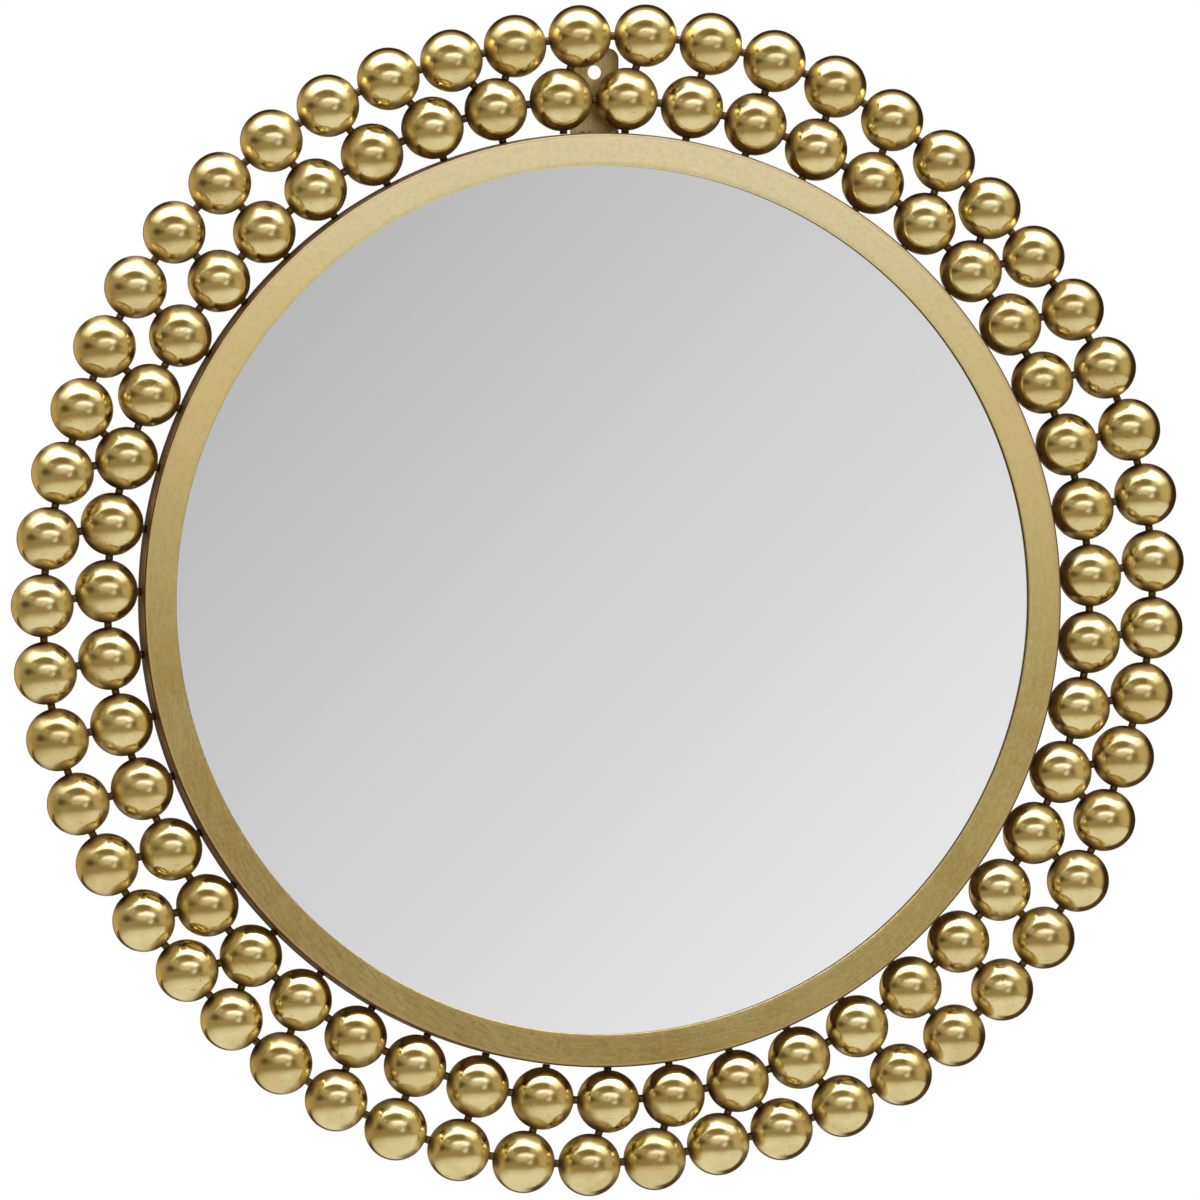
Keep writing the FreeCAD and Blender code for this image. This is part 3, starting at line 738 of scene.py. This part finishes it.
# flat ring, hoop, glass and board

ring = {
    "sight": 276.5 * mm, "outer": 297.5 * mm, "front": -13 * mm, "back": -10 * mm,
    "outerRound": 1.2 * mm, "outerSteps": 8, "lipRound": 0.6 * mm, "lipSteps": 4, "lipShade": 0.6,
    "flatSteps": 7, "segments": 360,
}


def makeRing(kit):
    big, small = kit["outerRound"], kit["lipRound"]
    lip, shoulder = kit["sight"] + small, kit["outer"] - big
    profile = [(kit["sight"], kit["back"])]
    profile += roundCorner((lip, kit["front"] + small), small, 180, 270, kit["lipSteps"])
    for step in range(1, kit["flatSteps"]):
        profile.append((lip + (shoulder - lip) * step / kit["flatSteps"], kit["front"]))
    profile += roundCorner((shoulder, kit["front"] + big), big, 270, 360, kit["outerSteps"])
    profile.append((kit["outer"], kit["back"]))
    mesh = addTurned("faceRing", profile, kit, ringBrass, "face_ring")
    # edgeShade marks where painted shade goes: the outer rounding and the inner lip towards the back
    shade = mesh.attributes.new("edgeShade", "FLOAT", "POINT")
    for index, vert in enumerate(mesh.vertices):
        radius = math.hypot(vert.co.x, vert.co.z)
        outside = (radius - shoulder) / big
        inside = (vert.co.y - kit["front"]) / (kit["back"] - kit["front"]) if radius < lip else 0
        shade.data[index].value = min(1, max(0, outside, inside * kit["lipShade"]))


makeRing(ring)

hoop = {
    "bore": 295.5 * mm, "outer": 297.5 * mm, "front": -10 * mm, "back": 10.5 * mm,
    "edge": 0.4 * mm, "edgeCut": 0.12 * mm, "segments": 300,
}


def makeHoop(kit):
    bore, outer, back, edge, cut = kit["bore"], kit["outer"], kit["back"], kit["edge"], kit["edgeCut"]
    profile = [(bore, kit["front"]), (outer, kit["front"]), (outer, back - edge), (outer - cut, back - cut),
               (outer - edge, back), (bore + edge, back), (bore + cut, back - cut), (bore, back - edge)]
    addTurned("sideBand", profile, kit, darkBronze, "side_band")


makeHoop(hoop)

glass = {"radius": 284.5 * mm, "front": -9 * mm, "back": -5 * mm, "arris": 0.8 * mm, "segments": 256}


def makeGlass(kit):
    radius, arris = kit["radius"], kit["arris"]
    profile = [(0, kit["front"]), (radius - arris, kit["front"]), (radius, kit["front"] + arris),
               (radius, kit["back"] - arris), (radius - arris, kit["back"]), (0, kit["back"])]
    addTurned("mirrorGlass", profile, kit, silveredGlass, "mirror_glass", closed=False)


makeGlass(glass)

board = {"radius": 284.5 * mm, "front": -3 * mm, "back": 2 * mm, "edge": 0.6 * mm, "segments": 200}


def makeBoard(kit):
    radius, edge = kit["radius"], kit["edge"]
    profile = [(0, kit["front"]), (radius, kit["front"]), (radius, kit["back"] - edge),
               (radius - edge, kit["back"]), (0, kit["back"])]
    addTurned("backingBoard", profile, kit, fibreBoard, "backing_board", closed=False)


makeBoard(board)
print("ring, hoop, glass and board made")


# clips, screws, hanger and pads at the back

def dressNode(node, material):
    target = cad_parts[node]
    target.data.materials.clear()
    target.data.materials.append(material)


easing = {
    "merge": 1e-6, "flat": math.radians(1), "segments": 2, "bevelFrom": math.radians(40),
    "sharp": math.radians(20),  # keeps flat faces flat beside the bevels
}


def mergedCopy(node):
    # the solid's triangles, merged and made flat faces again
    tool = bmesh.new()
    tool.from_mesh(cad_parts[node].data)
    bmesh.ops.remove_doubles(tool, verts=tool.verts, dist=easing["merge"])
    bmesh.ops.dissolve_limit(tool, angle_limit=easing["flat"], verts=tool.verts, edges=tool.edges)
    for face in tool.faces:
        face.smooth = True
    return tool


def easedPiece(name, tool, material, width):
    # a plain mesh with its sharp edges eased
    mesh = bpy.data.meshes.new(name)
    tool.to_mesh(mesh)
    tool.free()
    mesh.materials.append(material)
    piece = addObject(name, mesh)
    bevel = piece.modifiers.new("easedEdges", "BEVEL")
    bevel.width = width
    bevel.segments = easing["segments"]
    bevel.limit_method = "ANGLE"
    bevel.angle_limit = easing["bevelFrom"]
    bevel.use_clamp_overlap = True
    asPlainMesh(piece)
    piece.data.set_sharp_from_angle(angle=easing["sharp"])
    return piece


clips = {"count": 6, "edge": 0.3 * mm}
for index in range(1, clips["count"] + 1):
    node = f"turn_clip_{index}"
    clip = easedPiece(f"turnClip{index}", mergedCopy(node), zincSteel, clips["edge"])
    finishPiece(clip, node, [node])

hanger = {"edge": 0.5 * mm}
bracket = easedPiece("hangerBracket", mergedCopy("hanger_bracket"), hangerBrass, hanger["edge"])
finishPiece(bracket, "frame", ["hanger_bracket"])

ballPitch = 360 / ballRows["innerCount"]
pads = {"firstBall": 6, "ballStep": 11}
rivets = {"aside": 9.0 * mm, "radius": 297.5 * mm}
rivetTurn = math.degrees(math.asin(rivets["aside"] / rivets["radius"]))
atClips = {"slot": "clip_steel", "count": clips["count"], "first": 30.0, "step": 60.0, "radius": 290 * mm,
           "finish": zincSteel}
fittings = {  # first turn and step in degrees clockwise from the top, spin in radians
    "clipPosts": {**atClips, "node": "clip_posts", "spin": 0.0, "edge": 0.3 * mm},
    "clipScrews": {**atClips, "node": "clip_screws", "spin": 1.5, "edge": 0.15 * mm},
    "clipWashers": {**atClips, "node": "clip_washers", "spin": 3.0, "edge": 0.15 * mm},
    "hangerRivets": {"node": "hanger_rivets", "slot": "ring_brass", "count": 2, "first": -rivetTurn,
                     "step": 2 * rivetTurn, "radius": rivets["radius"], "spin": 0.0, "edge": 0.3 * mm,
                     "finish": hangerBrass},
    "wallBumpers": {"node": "wall_bumpers", "slot": "bumper_rubber", "count": 4,
                    "first": ballRows["innerStart"] + pads["firstBall"] * ballPitch,
                    "step": pads["ballStep"] * ballPitch,
                    "radius": ballRows["innerRadius"], "spin": 3.0, "edge": 0.6 * mm, "finish": padRubber},
}


def makeFittingTree():
    tree, given, identifiers = growTree("fittings", [
        ("Part", "NodeSocketObject"), ("Count", "NodeSocketInt"), ("First Turn", "NodeSocketFloat"),
        ("Turn Step", "NodeSocketFloat"), ("Circle Radius", "NodeSocketFloat"), ("Spin", "NodeSocketFloat"),
        ("Seed", "NodeSocketInt"), ("Finish", "NodeSocketMaterial")])
    line = addNode(tree, "GeometryNodeMeshLine", None, {"Count": given["Count"], "Offset": (0, 0, 0)})
    turn = given["First Turn"] + addNode(tree, "GeometryNodeInputIndex") * given["Turn Step"]
    sine, cosine = [addNode(tree, "ShaderNodeMath", {"operation": name}, {0: turn})
                    for name in ("SINE", "COSINE")]
    place = addNode(tree, "ShaderNodeCombineXYZ", None, {
        "X": sine * given["Circle Radius"], "Z": cosine * given["Circle Radius"]})
    points = addNode(tree, "GeometryNodeSetPosition", None, {"Geometry": line, "Position": place})
    spin = addNode(tree, "FunctionNodeRandomValue", {"data_type": "FLOAT"}, {
        2: given["Spin"] * -1, 3: given["Spin"], "Seed": given["Seed"]}, 1)
    way = addNode(tree, "ShaderNodeCombineXYZ", None, {"Y": turn + spin})
    part = addNode(tree, "GeometryNodeObjectInfo", None, {"Object": given["Part"]}, "Geometry")
    whole = addNode(tree, "GeometryNodeInstanceOnPoints", None, {
        "Points": points, "Instance": part, "Rotation": way})
    closeTree(tree, whole, given["Finish"])
    return tree, identifiers


def firstFitting(name, kit):
    # the solid at the first turn, moved to stand on the y axis
    tool = mergedCopy(kit["node"])
    first = onCircle(kit["radius"], kit["first"])
    span = kit["radius"] * math.radians(kit["step"]) / 2
    far = [vert for vert in tool.verts if math.hypot(vert.co.x - first.x, vert.co.z - first.z) > span]
    bmesh.ops.delete(tool, geom=far, context="VERTS")
    unturn = Matrix.Rotation(-math.radians(kit["first"]), 3, "Y")
    bmesh.ops.rotate(tool, verts=tool.verts, cent=(0, 0, 0), matrix=unturn)
    bmesh.ops.translate(tool, verts=tool.verts, vec=(0, 0, -kit["radius"]))
    return easedPiece(name + "Part", tool, kit["finish"], kit["edge"])


def makeFittings(kits):
    tree, identifiers = makeFittingTree()
    for seed, (name, kit) in enumerate(kits.items()):
        part = firstFitting(name, kit)
        piece = runTree(name, bpy.data.meshes.new(name), tree, identifiers, {
            "Part": part, "Count": kit["count"], "First Turn": math.radians(kit["first"]),
            "Turn Step": math.radians(kit["step"]), "Circle Radius": kit["radius"], "Spin": kit["spin"],
            "Seed": seed, "Finish": kit["finish"]})
        piece.data.set_sharp_from_angle(angle=sharpAngle)
        bpy.data.objects.remove(part)
        finishPiece(piece, "frame", [kit["node"]])


makeFittings(fittings)
dressNode("glazing_gasket", gasketRubber)
dressNode("cushion_ring", cushionFelt)
print("back made")


# studio: pale floor, soft light, and a tent of cards that only the metal and the glass see

studio = {
    "turn": 11.2,  # the tent faces the camera
    "floorDrop": -1.7, "floorHalf": 25.0, "floorColour": (0.84, 0.835, 0.82, 1), "floorRough": 0.7,
    "floorGloss": 0.2, "ambient": 0.92,
}


def makeWorld(kit):
    world = bpy.data.worlds.new("studio")
    scene.world = world
    world.use_nodes = True
    tree = world.node_tree
    tree.nodes.clear()
    path = addNode(tree, "ShaderNodeLightPath").socket.node
    seen = [Wire(path.outputs[f"Is {kind} Ray"]) for kind in ("Camera", "Glossy", "Transmission")]
    white = addNode(tree, "ShaderNodeMath", {"operation": "ADD", "use_clamp": True},
                    {0: seen[0] + seen[1], 1: seen[2]})
    soft = addNode(tree, "ShaderNodeBackground", None, {"Color": grey(1.0), "Strength": kit["ambient"]})
    plain = addNode(tree, "ShaderNodeBackground", None, {"Color": grey(1.0), "Strength": 1.0})
    both = addNode(tree, "ShaderNodeMixShader", None, {0: white, 1: soft, 2: plain})
    addNode(tree, "ShaderNodeOutputWorld", None, {"Surface": both})


def panelMesh(name, half, height):
    corners = [(-half, -half, height), (half, -half, height), (half, half, height), (-half, half, height)]
    return plainMesh(name, corners, faces=[(0, 1, 2, 3)])


def makeFloor(kit):
    mesh = panelMesh("floor", kit["floorHalf"], kit["floorDrop"])
    material, tree = startFinish("floorPaint")
    closeFinish(tree, {"Base Color": kit["floorColour"], "Roughness": kit["floorRough"],
                       "Specular IOR Level": kit["floorGloss"]})
    mesh.materials.append(material)
    addObject("floor", mesh)


def addCard(material, mesh, colour):
    glow = addNode(colour.tree, "ShaderNodeEmission", None, {"Color": colour})
    addNode(colour.tree, "ShaderNodeOutputMaterial", None, {"Surface": glow})
    mesh.materials.append(material)
    card = addObject(mesh.name, mesh)
    card.visible_camera = False
    card.visible_diffuse = False
    card.visible_shadow = False


def facingCamera(tree):
    # object coordinates, turned so that the camera is on -y
    return splitAxes(turned(objectSpot(tree), math.radians(studio["turn"])))


def rampAlong(wire, first, last, stops):
    places = [((value - first) / (last - first), colour) for value, colour in stops]
    share = (wire - first) * (1 / (last - first))
    return addNode(wire.tree, "ShaderNodeValToRGB", {"stops": places}, {"Fac": share})


# painted light and shade seen only in reflections: a lit floor near the mirror that fades far off, and
# shade behind it
floorCard = {
    "half": 4.8, "lift": 0.002, "leastAway": 0.001,
    "rightReach": 0.5,  # the bright part runs on to the right
    "fall": (  # distance from the mirror, and colour
        (0.0, (0.86, 0.855, 0.85, 1)), (1.2, (0.88, 0.87, 0.86, 1)), (1.7, (0.81, 0.795, 0.75, 1)),
        (2.3, (0.70, 0.665, 0.565, 1)), (2.9, (0.53, 0.475, 0.35, 1)), (3.7, (0.40, 0.34, 0.21, 1)),
        (4.8, (0.37, 0.30, 0.17, 1))),
    "shadeWay": (-0.27, 0.963), "shadeRange": (0.30, 0.75), "shadeLeft": (-0.2, 0.5), "farShade": (1.3, 2.2),
    "shadeColour": (0.095, 0.052, 0.022, 1),  # painted shade behind, seen only in reflections
}


def makeFloorCard(kit):
    material, tree = startFinish("floorCard")
    x, y = facingCamera(tree)[:2]
    away = (x * x + y * y) ** 0.5
    right = greaterOf(x, 0.0)
    spread = addNode(tree, "ShaderNodeMath", {"operation": "DIVIDE"},
                     {0: right * right, 1: away + kit["leastAway"]})
    colour = rampAlong(away - spread * kit["rightReach"], 0.0, kit["half"], kit["fall"])
    shadeBehind = easeBetween(weighed(kit["shadeWay"], x, y), *kit["shadeRange"]) * easeBetween(x, *kit["shadeLeft"])
    colour = blendColours(greaterOf(shadeBehind, easeBetween(y, *kit["farShade"])), colour, kit["shadeColour"])
    addCard(material, panelMesh("floorCard", kit["half"], studio["floorDrop"] + kit["lift"]), colour)


tent = {
    "radius": 5.0, "lowest": -20.0, "columns": 48, "rows": 14,
    "rise": (  # degrees above the level, and colour
        (-24, (0.42, 0.36, 0.24, 1)), (-18, (0.36, 0.29, 0.165, 1)), (-12, (0.36, 0.29, 0.17, 1)),
        (-5, (0.39, 0.32, 0.195, 1)), (2, (0.43, 0.355, 0.225, 1)), (10, (0.46, 0.39, 0.26, 1)),
        (30, (0.42, 0.35, 0.22, 1)), (37, (0.30, 0.23, 0.115, 1)), (46, (0.25, 0.18, 0.08, 1)),
        (60, (0.28, 0.21, 0.10, 1))),
    "spots": (  # azimuth and elevation of the middle, half width and height, core share, strength, colour
        (55, 40, 36, 20, 0.3, 0.9, (0.66, 0.59, 0.46, 1)),
        (-46, 28, 11, 6, 0.1, 0.85, (0.75, 0.66, 0.47, 1)),
        (10, 20, 43, 15, 0.45, 1.0, (1.72, 1.7, 2.1, 1)),
        (0, 10, 46, 15, 0.35, 0.85, (0.74, 0.66, 0.56, 1)),
        (88, 4, 42, 40, 0.3, 0.85, (0.63, 0.53, 0.31, 1)),
        (-58, 3, 46, 15, 0.0, 0.75, (0.12, 0.09, 0.045, 1)),
        (-66, 5, 24, 17, 0.2, 0.7, (0.065, 0.047, 0.023, 1)),
        (47, 1, 18, 19, 0.2, 0.75, (0.19, 0.15, 0.085, 1))),
    "bowFront": (0.53, 0.29), "bowFoot": (22.0, 40.0), "bowLean": 0.03,  # soft light arching overhead
    "bowColour": (4.7, 4.65, 4.7, 1), "legColour": (1.5, 1.45, 1.4, 1), "legTop": (40.0, 58.0),
    "bowBack": (-0.08, -0.32), "roofColour": (0.72, 0.63, 0.46, 1),
    "rearRange": (-0.04, -0.5), "rearLift": 0.27, "rearColour": (0.05, 0.025, 0.011, 1),
    "leftColour": (0.60, 0.45, 0.22, 1), "leftRange": (-0.3, -0.65), "leftTop": (0.6, 0.15),
    "cardColour": (0.74, 0.72, 0.69, 1), "cardMiddle": (0.0, -0.08), "cardSize": (0.36, 0.45),
    "cardEdge": (1.0, 0.35), "cardRange": (-0.6, -0.9),  # a grey card behind the mirror
    "glassMiddle": (22.4, -0.45), "glassReach": (15.0, 5.3), "glassLevel": 0.685, "glassSlope": 0.026,
}


def tentMesh(kit):
    places, faces, columns = [(0, 0, kit["radius"])], [], kit["columns"]
    for row in range(1, kit["rows"] + 1):
        rise = math.radians(90 + (kit["lowest"] - 90) * row / kit["rows"])
        start = 1 + (row - 1) * columns
        for column in range(columns):
            place = onCircle(kit["radius"] * math.cos(rise), 360 * column / columns)
            places.append((place.x, place.z, kit["radius"] * math.sin(rise)))
            here, after = start + column, start + (column + 1) % columns
            faces.append((here, after, 0) if row == 1 else (here, after, after - columns, here - columns))
    return plainMesh("tent", places, faces=faces)


def makeTent(kit):
    material, tree = startFinish("tent")
    x, y, z = facingCamera(tree)
    unit, degrees = 1 / kit["radius"], 180 / math.pi
    across, front, height = x * unit, y * -unit, z * unit
    rise = addNode(tree, "ShaderNodeMath", {"operation": "ARCSINE"}, {0: height}) * degrees
    turn = addNode(tree, "ShaderNodeMath", {"operation": "ARCTAN2"}, {0: x, 1: y * -1}) * degrees

    def nearTo(first, second, middle, size, outer, core):
        gap = addNode(tree, "ShaderNodeCombineXYZ", None, {
            "X": (first - middle[0]) * (1 / size[0]), "Y": (second - middle[1]) * (1 / size[1])})
        return easeBetween(lengthOf(gap), outer, core)

    colour = rampAlong(rise, kit["rise"][0][0], kit["rise"][-1][0], kit["rise"])
    for spotTurn, spotRise, wide, tall, core, strength, spotColour in kit["spots"]:
        share = nearTo(turn, rise, (spotTurn, spotRise), (wide, tall), 1.0, core) * strength
        colour = blendColours(share, colour, spotColour)
    overhead = easeBetween(rise, *kit["bowFoot"])
    bow = blendColours(easeBetween(rise, *kit["legTop"]), kit["legColour"], kit["bowColour"])
    leaning = front + greaterOf(across * -1, 0.0) * kit["bowLean"]
    colour = blendColours(overhead * easeBetween(leaning, *kit["bowFront"]), colour, bow)
    colour = blendColours(overhead * easeBetween(front, *kit["bowBack"]), colour, kit["roofColour"])
    left = easeBetween(across, *kit["leftRange"]) * easeBetween(height, *kit["leftTop"])
    rear = blendColours(left, kit["rearColour"], kit["leftColour"])
    card = nearTo(across, height, kit["cardMiddle"], kit["cardSize"], *kit["cardEdge"])
    rear = blendColours(card * easeBetween(front, *kit["cardRange"]), rear, kit["cardColour"])
    away = front + greaterOf(height, 0.0) * kit["rearLift"]
    colour = blendColours(easeBetween(away, *kit["rearRange"]), colour, rear)
    glassTurn, glassRise = kit["glassMiddle"]
    level = (turn - rise - (glassTurn - glassRise)) * kit["glassSlope"] + kit["glassLevel"]
    even = addNode(tree, "ShaderNodeCombineColor", None, {"Red": level, "Green": level, "Blue": level})
    seen = nearTo(turn, rise, kit["glassMiddle"], (1, 1), *kit["glassReach"])
    addCard(material, tentMesh(kit), blendColours(seen, colour, even))


lamps = {
    "topBox": {"place": (-0.8, -2.2, 3.0), "size": (2.6, 1.8), "level": 3.0},
    "backBox": {"place": (0.9, 2.6, 2.2), "size": (2.2, 1.6), "level": 2.0},
}


def makeLamps(kit):
    for name, lamp in kit.items():
        light = bpy.data.lights.new(name, "AREA")
        light.shape = "RECTANGLE"
        light.size, light.size_y = lamp["size"]
        light.energy = lamp["level"] * math.pi * light.size * light.size_y
        box = addObject(name, light)
        box.location = lamp["place"]
        box.rotation_euler = (-box.location).to_track_quat("-Z", "Y").to_euler()
        box.visible_glossy = False


makeWorld(studio)
makeFloor(studio)
makeFloorCard(floorCard)
makeTent(tent)
makeLamps(lamps)
print("studio made")


# camera

view = {
    "azimuth": -11.2, "elevation": 0.45, "distance": 12.0, "frameWidth": 0.7645, "offset": -0.0006,
    "sensor": 36, "farthest": 60,
}


def makeCamera(kit):
    turn, rise = math.radians(kit["azimuth"]), math.radians(kit["elevation"])
    back = Vector((math.sin(turn) * math.cos(rise), -math.cos(turn) * math.cos(rise), math.sin(rise)))
    side = Vector((math.cos(turn), math.sin(turn), 0))
    lens = bpy.data.cameras.new("camera")
    lens.sensor_width = kit["sensor"]
    lens.lens = kit["sensor"] * kit["distance"] / kit["frameWidth"]
    lens.clip_end = kit["farthest"]
    camera = addObject("camera", lens)
    camera.location = back * kit["distance"] + side * kit["offset"]
    camera.rotation_euler = (-back).to_track_quat("-Z", "Y").to_euler()
    scene.camera = camera


makeCamera(view)
